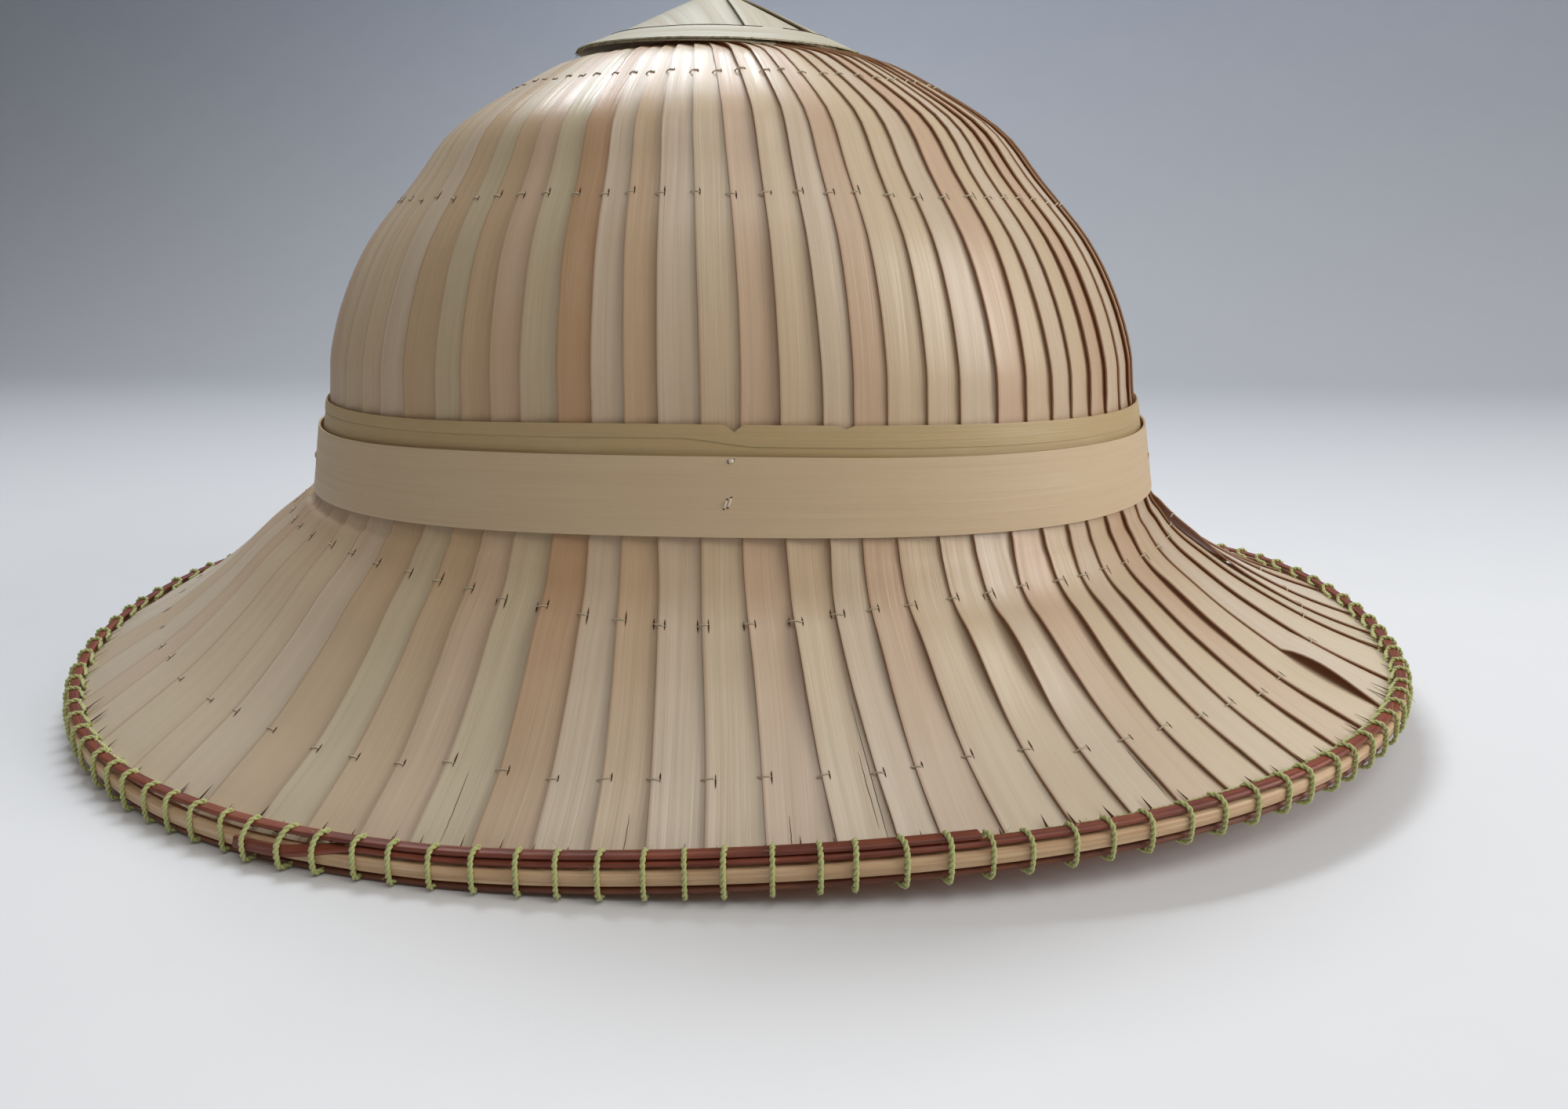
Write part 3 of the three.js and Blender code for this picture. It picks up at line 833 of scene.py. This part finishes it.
def split(
    name, angles, out, up, width, thick, grooves, depth, material, seed,
    slant=0.0, roll=0.0, closed=True,
):
    """A rattan split whose section lies out and up from the leaf's edge."""
    own = np.random.default_rng(seed)
    x, y = split_section(width, thick, grooves, depth)
    wander = np.zeros_like(angles)
    for n in range(3, 14):
        wander += own.normal() / n * np.cos(n * angles + own.uniform(0, 6.28))
    out = np.broadcast_to(out, angles.shape) + wander * 0.12 * MM
    up = np.broadcast_to(up, angles.shape) + np.roll(wander, 7) * 0.08 * MM * (1 if closed else 0)
    slant = np.broadcast_to(slant, angles.shape)
    roll = np.broadcast_to(roll, angles.shape)[:, None]
    across = x[None, :] * np.cos(roll) - y[None, :] * np.sin(roll)
    slope = slant[:, None] * (width / 2 - x)[None, :]
    rise = x[None, :] * np.sin(roll) + y[None, :] * np.cos(roll) + slope
    grid = rim_point(angles[:, None], out[:, None] + across, up[:, None] + rise)
    count, n = grid.shape[:2]
    index = np.arange(count * n).reshape(count, n)
    faces = grid_faces(index.T, True, closed)
    if not closed:
        faces.append(tuple(index[0]))
        faces.append(tuple(index[-1, ::-1]))
    girth = np.concatenate([[0], np.cumsum(np.hypot(np.diff(x), np.diff(y)))])
    run = np.concatenate([[0], np.cumsum(np.abs(np.diff(angles)))]) * EDGE_RADIUS
    uv = np.stack([np.broadcast_to(girth, (count, n)), np.broadcast_to(run[:, None], (count, n))], -1)
    mesh = Mesh()
    mesh.add(grid, faces, uv)
    return mesh.build(name, 60, material)


RING = np.arange(360) * 2 * math.pi / 360
pale_split = split(
    "rim_pale", RING, 1.45 * MM, -0.72 * MM, width=2.2 * MM, thick=3.2 * MM,
    grooves=0.5, depth=0.05, material=pale_material, seed=41,
)
lower_split = split(
    "rim_lower", RING, -0.1 * MM, -3.6 * MM, width=3.9 * MM, thick=1.6 * MM,
    grooves=2, depth=0.10, material=brown_material, seed=42,
)
# The dark split starts in front of the pale one, comes up behind it, and after a whole turn
# climbs over its own start.
LAP_FROM, LAP_TO = math.radians(-126), math.radians(-65)
LAP = LAP_TO - LAP_FROM
START_BEND = (0.05, 0.19)
CLIMB_END = 2 * math.pi - 0.087
CLIMB_START = CLIMB_END - math.radians(20)
CLIMB = 1.4

along = np.linspace(0, 2 * math.pi + LAP, 430)
at_start = 1 - smoothstep(along, *START_BEND)
on_top = smoothstep(along, CLIMB_START, CLIMB_END)
dark_out = (0.7 - 0.4 * on_top + 2.5 * at_start) * MM
dark_up = (1.85 + CLIMB * on_top - 2.2 * at_start) * MM
dark_split = split(
    "rim_dark", LAP_FROM + along, dark_out, dark_up, width=2.4 * MM, thick=1.2 * MM,
    grooves=2, depth=0.2, material=dark_material, seed=43,
    slant=0.08, roll=-1.35 * at_start, closed=False,
)
for piece, node, slot in (
    (pale_split, "rim_pale_split", "pale_rattan"),
    (lower_split, "rim_lower_split", "brown_rattan"),
    (dark_split, "rim_dark_split", "dark_rattan"),
):
    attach(piece, "root")
    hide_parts(node)

# Whipping thread of the rim
THREAD = 0.34 * MM
THREAD_STEP = 0.45 * MM
PLY_TURN = 2.4 * MM
STITCH_GAP = 8.0 * MM
THREAD_CLEAR = 0.9 * MM
BRIM_STEP = 0.2 * (EDGE_RADIUS - FOOT_RADIUS)


def rim_stitches():
    """Angles of the whipping stitches, evenly spaced along the rim with a little wander."""
    fine = np.linspace(-math.pi, math.pi, 3601)
    length = path_length(rim_point(fine, 0.0, 0.0))
    count = int(round(length[-1] / STITCH_GAP))
    place = (np.arange(count) + 0.5) * length[-1] / count
    place = place + rng.uniform(-0.8, 0.8, count) * MM
    return np.interp(place, length, fine)


def resample(path, step):
    """The same path with points at even steps."""
    length = path_length(path)
    count = max(int(length[-1] / step), 4)
    at = np.linspace(0, length[-1], count)
    return np.stack([np.interp(at, length, path[:, k]) for k in range(3)], -1)


def smooth_path(path, times=2):
    """A path with its corners cut; its ends stay."""
    for _ in range(times):
        q = 0.75 * path[:-1] + 0.25 * path[1:]
        r = 0.25 * path[:-1] + 0.75 * path[1:]
        path = np.vstack([path[:1], np.stack([q, r], 1).reshape(-1, 3), path[-1:]])
    return path


def twist(mesh, path, radius, phase, tone):
    """Two strands twisted round a path."""
    path = resample(smooth_path(path), THREAD_STEP)
    tangent = unit(np.gradient(path, axis=0))
    side, other = carried_frame(tangent, np.cross(tangent[0], [0.3, 0.2, 0.93]))
    turn = np.arange(len(path)) * THREAD_STEP / PLY_TURN * 2 * math.pi + phase
    for half in (0.0, math.pi):
        ring = side * np.cos(turn + half)[:, None] + other * np.sin(turn + half)[:, None]
        mesh.tube(path + ring * radius * 0.8, radius, tone=tone)


def brim_spot(angle, inward, above):
    """A point on the leaf near the rim, inward from its edge."""
    return surface(RIM - inward / BRIM_STEP, angle, above)


# Section of a stitch: out from the leaf's edge and up from the rim's level, mm.
STITCH = [
    (-1.4, -4.95), (0.5, -5.0), (2.3, -4.85), (3.0, -4.0), (3.12, -1.5),
    (3.0, 0.8), (2.5, 2.1), (1.7, 2.85), (0.6, 2.95), (-0.6, 2.8),
]
# Its run to the needle's hole: share of the way, inward from the edge and above the leaf, mm.
STITCH_RUN = [
    (0.08, 1.3, 1.1), (0.3, 1.6, 0.6), (0.65, 1.8, 0.45),
    (1.0, 1.9, 0.4), (1.12, 2.0, -0.3), (1.15, 2.0, -1.2),
]
# Where it is higher, over the dark split's lap: angle past the split's start, and mm.
LAP_ANGLES = [0, LAP, LAP + 0.02, CLIMB_START, CLIMB_END]
LAP_HEIGHTS = [CLIMB, CLIMB, 0, 0, CLIMB]


def build_whipping():
    """Thread stitches over the splits, each with a run along the splits' inner side to its hole."""
    thread, nicks, fuzz = Mesh(), Mesh(), Mesh()
    for angle in rim_stitches():
        past_start = np.mod(angle - LAP_FROM, 2 * math.pi)
        height = np.interp(past_start, LAP_ANGLES, LAP_HEIGHTS) * MM
        lean = rng.uniform(-0.7, 0.7)
        bearing = math.remainder(angle + math.pi / 2, 2 * math.pi)
        go = -4.2 * np.clip(bearing / 0.4, -1, 1) * rng.uniform(0.8, 1.15) + rng.uniform(-0.4, 0.4)
        path = [rim_point(angle - 0.6 * lean * MM / EDGE_RADIUS, -2.6 * MM, -3.4 * MM)]
        pushed = 1.3 * (1 - smoothstep(past_start, *START_BEND))
        for out, up in STITCH:
            out = out + (pushed if out > 2.4 and up < 2 else 0.0)
            lifted = height * min(max((up + 1.0) / 3.0, 0), 1)
            place = angle + lean * (out - 1) / 4 * MM / EDGE_RADIUS
            path.append(rim_point(place, out * MM, up * MM + lifted))
        for share, inward, above in STITCH_RUN:
            high = height * max(0.0, 1 - share * 2.5)
            place = angle + share * go * MM / EDGE_RADIUS
            path.append(brim_spot(place, inward * MM, above * MM + high))
        path = np.array(path)
        path[:, 2] = np.maximum(path[:, 2], THREAD_CLEAR)
        radius = THREAD * rng.uniform(0.92, 1.08)
        twist(thread, path, radius, rng.uniform(0, 6.28), rng.uniform())
        hole = angle + go * MM / EDGE_RADIUS
        for _ in range(rng.integers(1, 3)):
            long = rng.uniform(1.5, 5.0)
            start = hole + rng.uniform(-0.8, 0.8) * MM / EDGE_RADIUS
            skew = rng.uniform(-0.12, 0.12) * long
            t = np.linspace(0, 1, 7)
            half = 0.42 * (1 - t) ** 0.8 * rng.uniform(0.6, 1.2)
            places = [start + (skew * t + side * half) * MM / EDGE_RADIUS for side in (-1, 1)]
            top = np.stack([brim_spot(place, (1.0 + long * t) * MM, 0.5 * MM) for place in places], 1)
            nicks.sheet(top, top - [0, 0, 0.05 * MM])
        for _ in range(6):
            at = path[rng.integers(5, len(path) - 2)]
            aim = rng.normal(size=3)
            aim *= rng.uniform(0.9, 1.7) * MM / np.linalg.norm(aim)
            bend = rng.normal(size=3) * 0.3 * MM
            fuzz.tube(np.array([at, at + aim * 0.5 + bend * 0.4, at + aim + bend]), 0.035 * MM, 3)
    return thread, nicks, fuzz


rim_thread, rim_nicks, rim_fuzz = build_whipping()
add_trim("rim_thread", rim_thread, thread_material)
add_trim("rim_nicks", rim_nicks, nick_material)
add_trim("rim_thread_fuzz", rim_fuzz, thread_material)

# Small stitches of the strips in each of STITCH_ROWS: how far they reach, and their nicks, mm
SMALL_STITCHES = dict(
    cap=dict(reach=1.0, nick=0.7), crown=dict(reach=1.3, nick=1.0),
    root=dict(reach=1.6, nick=1.5), brim=dict(reach=1.7, nick=1.2),
)


def build_strip_stitches():
    """A short pale stitch over each free edge in four rows, with dark nicks at its ends.

    The root's row bends down by the front, and the buckled strip has lost its brim stitch.
    """
    threads, nicks = Mesh(), Mesh()
    for k, strip in enumerate(plan):
        for name, row in STITCH_ROWS.items():
            if k == BUCKLED and name == "brim":
                continue
            s = row + rng.uniform(-0.03, 0.03) * (3 if name == "brim" else 1)
            if name == "root":
                s += 0.9 * math.exp(-((strip["edge"] + 1.59) / 0.5) ** 2)
            reach = SMALL_STITCHES[name]["reach"] * MM * rng.uniform(0.8, 1.2)
            here = np.array([s, s + 0.02])
            grid, out = strip_grid(k, here, np.array([0.0, 1.0]))
            width = np.linalg.norm(grid[0, 1] - grid[0, 0])
            share = min(reach / width, 0.5)
            grid, out = strip_grid(k, here, np.array([0.0, share]))
            along_strip = unit(grid[1, 0] - grid[0, 0])
            across = unit(grid[0, 1] - grid[0, 0])
            up = np.cross(across, along_strip)
            up *= np.sign(up @ out[0])
            edge, far = grid[0, 0], grid[0, 1]
            slope = rng.uniform(-0.25, 0.25)
            path = np.array([
                edge - across * 1.3 * MM - up * 1.4 * MM - along_strip * slope * MM,
                edge - across * 0.9 * MM - up * 0.5 * MM - along_strip * slope * MM,
                edge - across * 0.1 * MM + up * 0.12 * MM,
                edge + across * 0.4 * MM + up * 0.16 * MM,
                far - across * 0.1 * MM + up * 0.12 * MM + along_strip * slope * MM,
                far + across * 0.15 * MM - up * 0.6 * MM + along_strip * slope * MM,
            ])
            threads.tube(resample(smooth_path(path, 1), 0.3 * MM), 0.15 * MM * rng.uniform(0.8, 1.2))
            long = SMALL_STITCHES[name]["nick"] * MM * rng.uniform(0.6, 1.3)
            for base, height in ((far, 0.06), (edge - across * 0.9 * MM - up * 0.8 * MM, 0.0)):
                if height == 0.0 and rng.uniform() < 0.5:
                    continue
                t = np.linspace(-1, 1, 7)[:, None]
                middle = base + along_strip * long * (t + rng.uniform(-0.4, 0.4)) + up * height * MM
                half = across * (0.17 * MM) * (1 - t**2 * 0.9)
                top = np.stack([middle - half, middle + half], 1)
                nicks.sheet(top, top - up * 0.05 * MM)
    return threads, nicks


# Fine splits in the leaf along the fibres of single strips: which strip, share across it,
# and the rows they run between.
LEAF_SPLITS = [
    # strip, share, start, stop
    (9, 0.70, 9.2, 15.9), (9, 0.63, 12.0, 14.2), (11, 0.64, 13.2, 15.9), (11, 0.56, 14.0, 15.4),
    (4, 0.35, 14.4, 15.6), (16, 0.55, 14.6, 15.6), (7, 0.45, 15.0, 15.8), (10, 0.30, 15.1, 15.9),
    (33, 0.50, 13.0, 15.8), (47, 0.60, 9.4, 12.5), (60, 0.40, 14.2, 15.9),
]


def build_leaf_splits():
    """A dark line along each split of LEAF_SPLITS."""
    lines = Mesh()
    own = np.random.default_rng(51)
    for strip, share, start, stop in LEAF_SPLITS:
        grid, out = strip_grid(strip, np.linspace(start, stop, 24), np.array([0.0, share]))
        fine = np.cumsum(own.normal(size=24)) * 0.03 * MM
        turn = unit(grid[:, 1] - grid[:, 0])
        ends = np.sin(np.linspace(0.06, math.pi - 0.06, 24)) ** 0.5
        lines.tube(grid[:, 1] + turn * fine[:, None] + out * 0.04 * MM, 0.065 * MM * ends, 4)
    return lines


add_trim("leaf_splits", build_leaf_splits(), nick_material)
strip_threads, strip_holes = build_strip_stitches()
add_trim("strip_stitches", strip_threads, stitch_material)
add_trim("strip_nicks", strip_holes, nick_material)

# Floor, light and camera
FLOOR_REACH = 4.0
WALL_FOOT, WALL_TOP = 0.55, 2.2
WALL_CURVE = 0.5


def build_floor():
    """A pale floor that curves up into a wall behind the hat."""
    floor = Mesh()
    profile = [(-FLOOR_REACH, 0.0), (-1.5, 0.0), (WALL_FOOT, 0.0)]
    for t in np.linspace(0, math.pi / 2, 24)[1:]:
        profile.append((WALL_FOOT + WALL_CURVE * math.sin(t), WALL_CURVE * (1 - math.cos(t))))
    profile.append((WALL_FOOT + WALL_CURVE, WALL_TOP))
    x = np.linspace(-FLOOR_REACH, FLOOR_REACH, 9)
    grid = np.array([[(a, y, z) for a in x] for y, z in profile])
    floor.add(grid, grid_faces(np.arange(grid[..., 0].size).reshape(grid.shape[:2])))
    n = Nodes("floor_paint", 0.5, 0.3)
    place = n.node("ShaderNodeTexCoord").outputs["Object"]
    axes = n.node("ShaderNodeSeparateXYZ", Vector=place).outputs
    level = n.remap(axes["Z"], 0.0, 0.45)
    speck = n.noise(place, 40.0, 3, 0.6)
    # Painted shade: the floor darkens towards the back, and the wall above it is darker and grey-blue.
    depth = n.remap(axes["Y"], 0.05, 0.60)
    table = n.mix(depth, srgb("e9eaec"), srgb("b4b6bb"))
    wall = n.mix(level, table, srgb("949cab"))
    paint = n.mix(n.remap(speck, 0.3, 0.7, 0.0, 0.04), wall, srgb("c8c9cc"))
    return floor.build("floor", 60, n.finish(paint))


build_floor()


def area_light(name, place, target, size, power, colour):
    """A rectangle of light at a place, aimed at its target."""
    light = bpy.data.lights.new(name, "AREA")
    light.shape = "RECTANGLE"
    light.size, light.size_y = size
    light.energy = power
    light.color = colour
    obj = bpy.data.objects.new(name, light)
    bpy.context.scene.collection.objects.link(obj)
    obj.location = place
    obj.rotation_euler = (Vector(target) - Vector(place)).to_track_quat("-Z", "Y").to_euler()


area_light("window", (-0.20, 0.52, 1.05), (0, 0, 0.15), (0.75, 0.22), 8.5, (0.90, 0.95, 1.0))
area_light("key_right", (1.33, -0.28, 0.68), (0, 0, 0.08), (0.9, 0.8), 11.5, (1.0, 0.98, 0.96))
area_light("table_light", (0.35, -0.60, 1.5), (0.05, -0.15, 0.0), (1.2, 0.7), 6.3, (1.0, 0.99, 0.98))

world = bpy.data.worlds.new("room")
world.use_nodes = True
backdrop = world.node_tree.nodes["Background"].inputs
backdrop["Color"].default_value = (1.0, 0.95, 0.87, 1.0)
backdrop["Strength"].default_value = 0.15
bpy.context.scene.world = world
bpy.context.scene.view_settings.view_transform = "Standard"

# The photo's camera, fitted to the rim's and bands' outlines
CAMERA_PLACE = (0.03405, -0.3111, 0.1218)
AIM, PITCH = math.radians(93.67), 0.286
camera_data = bpy.data.cameras.new("photo_camera")
camera_data.sensor_width = 36.0
camera_data.sensor_fit = "HORIZONTAL"
camera_data.lens = 25.77
camera = bpy.data.objects.new("photo_camera", camera_data)
bpy.context.scene.collection.objects.link(camera)
forward = Vector((math.cos(AIM) * math.cos(PITCH), math.sin(AIM) * math.cos(PITCH), -math.sin(PITCH)))
sideways = forward.cross(Vector((0, 0, 1))).normalized()
upward = sideways.cross(forward)
turned = Matrix((sideways, upward, -forward)).transposed().to_4x4()
camera.matrix_world = Matrix.Translation(CAMERA_PLACE) @ turned
bpy.context.scene.camera = camera
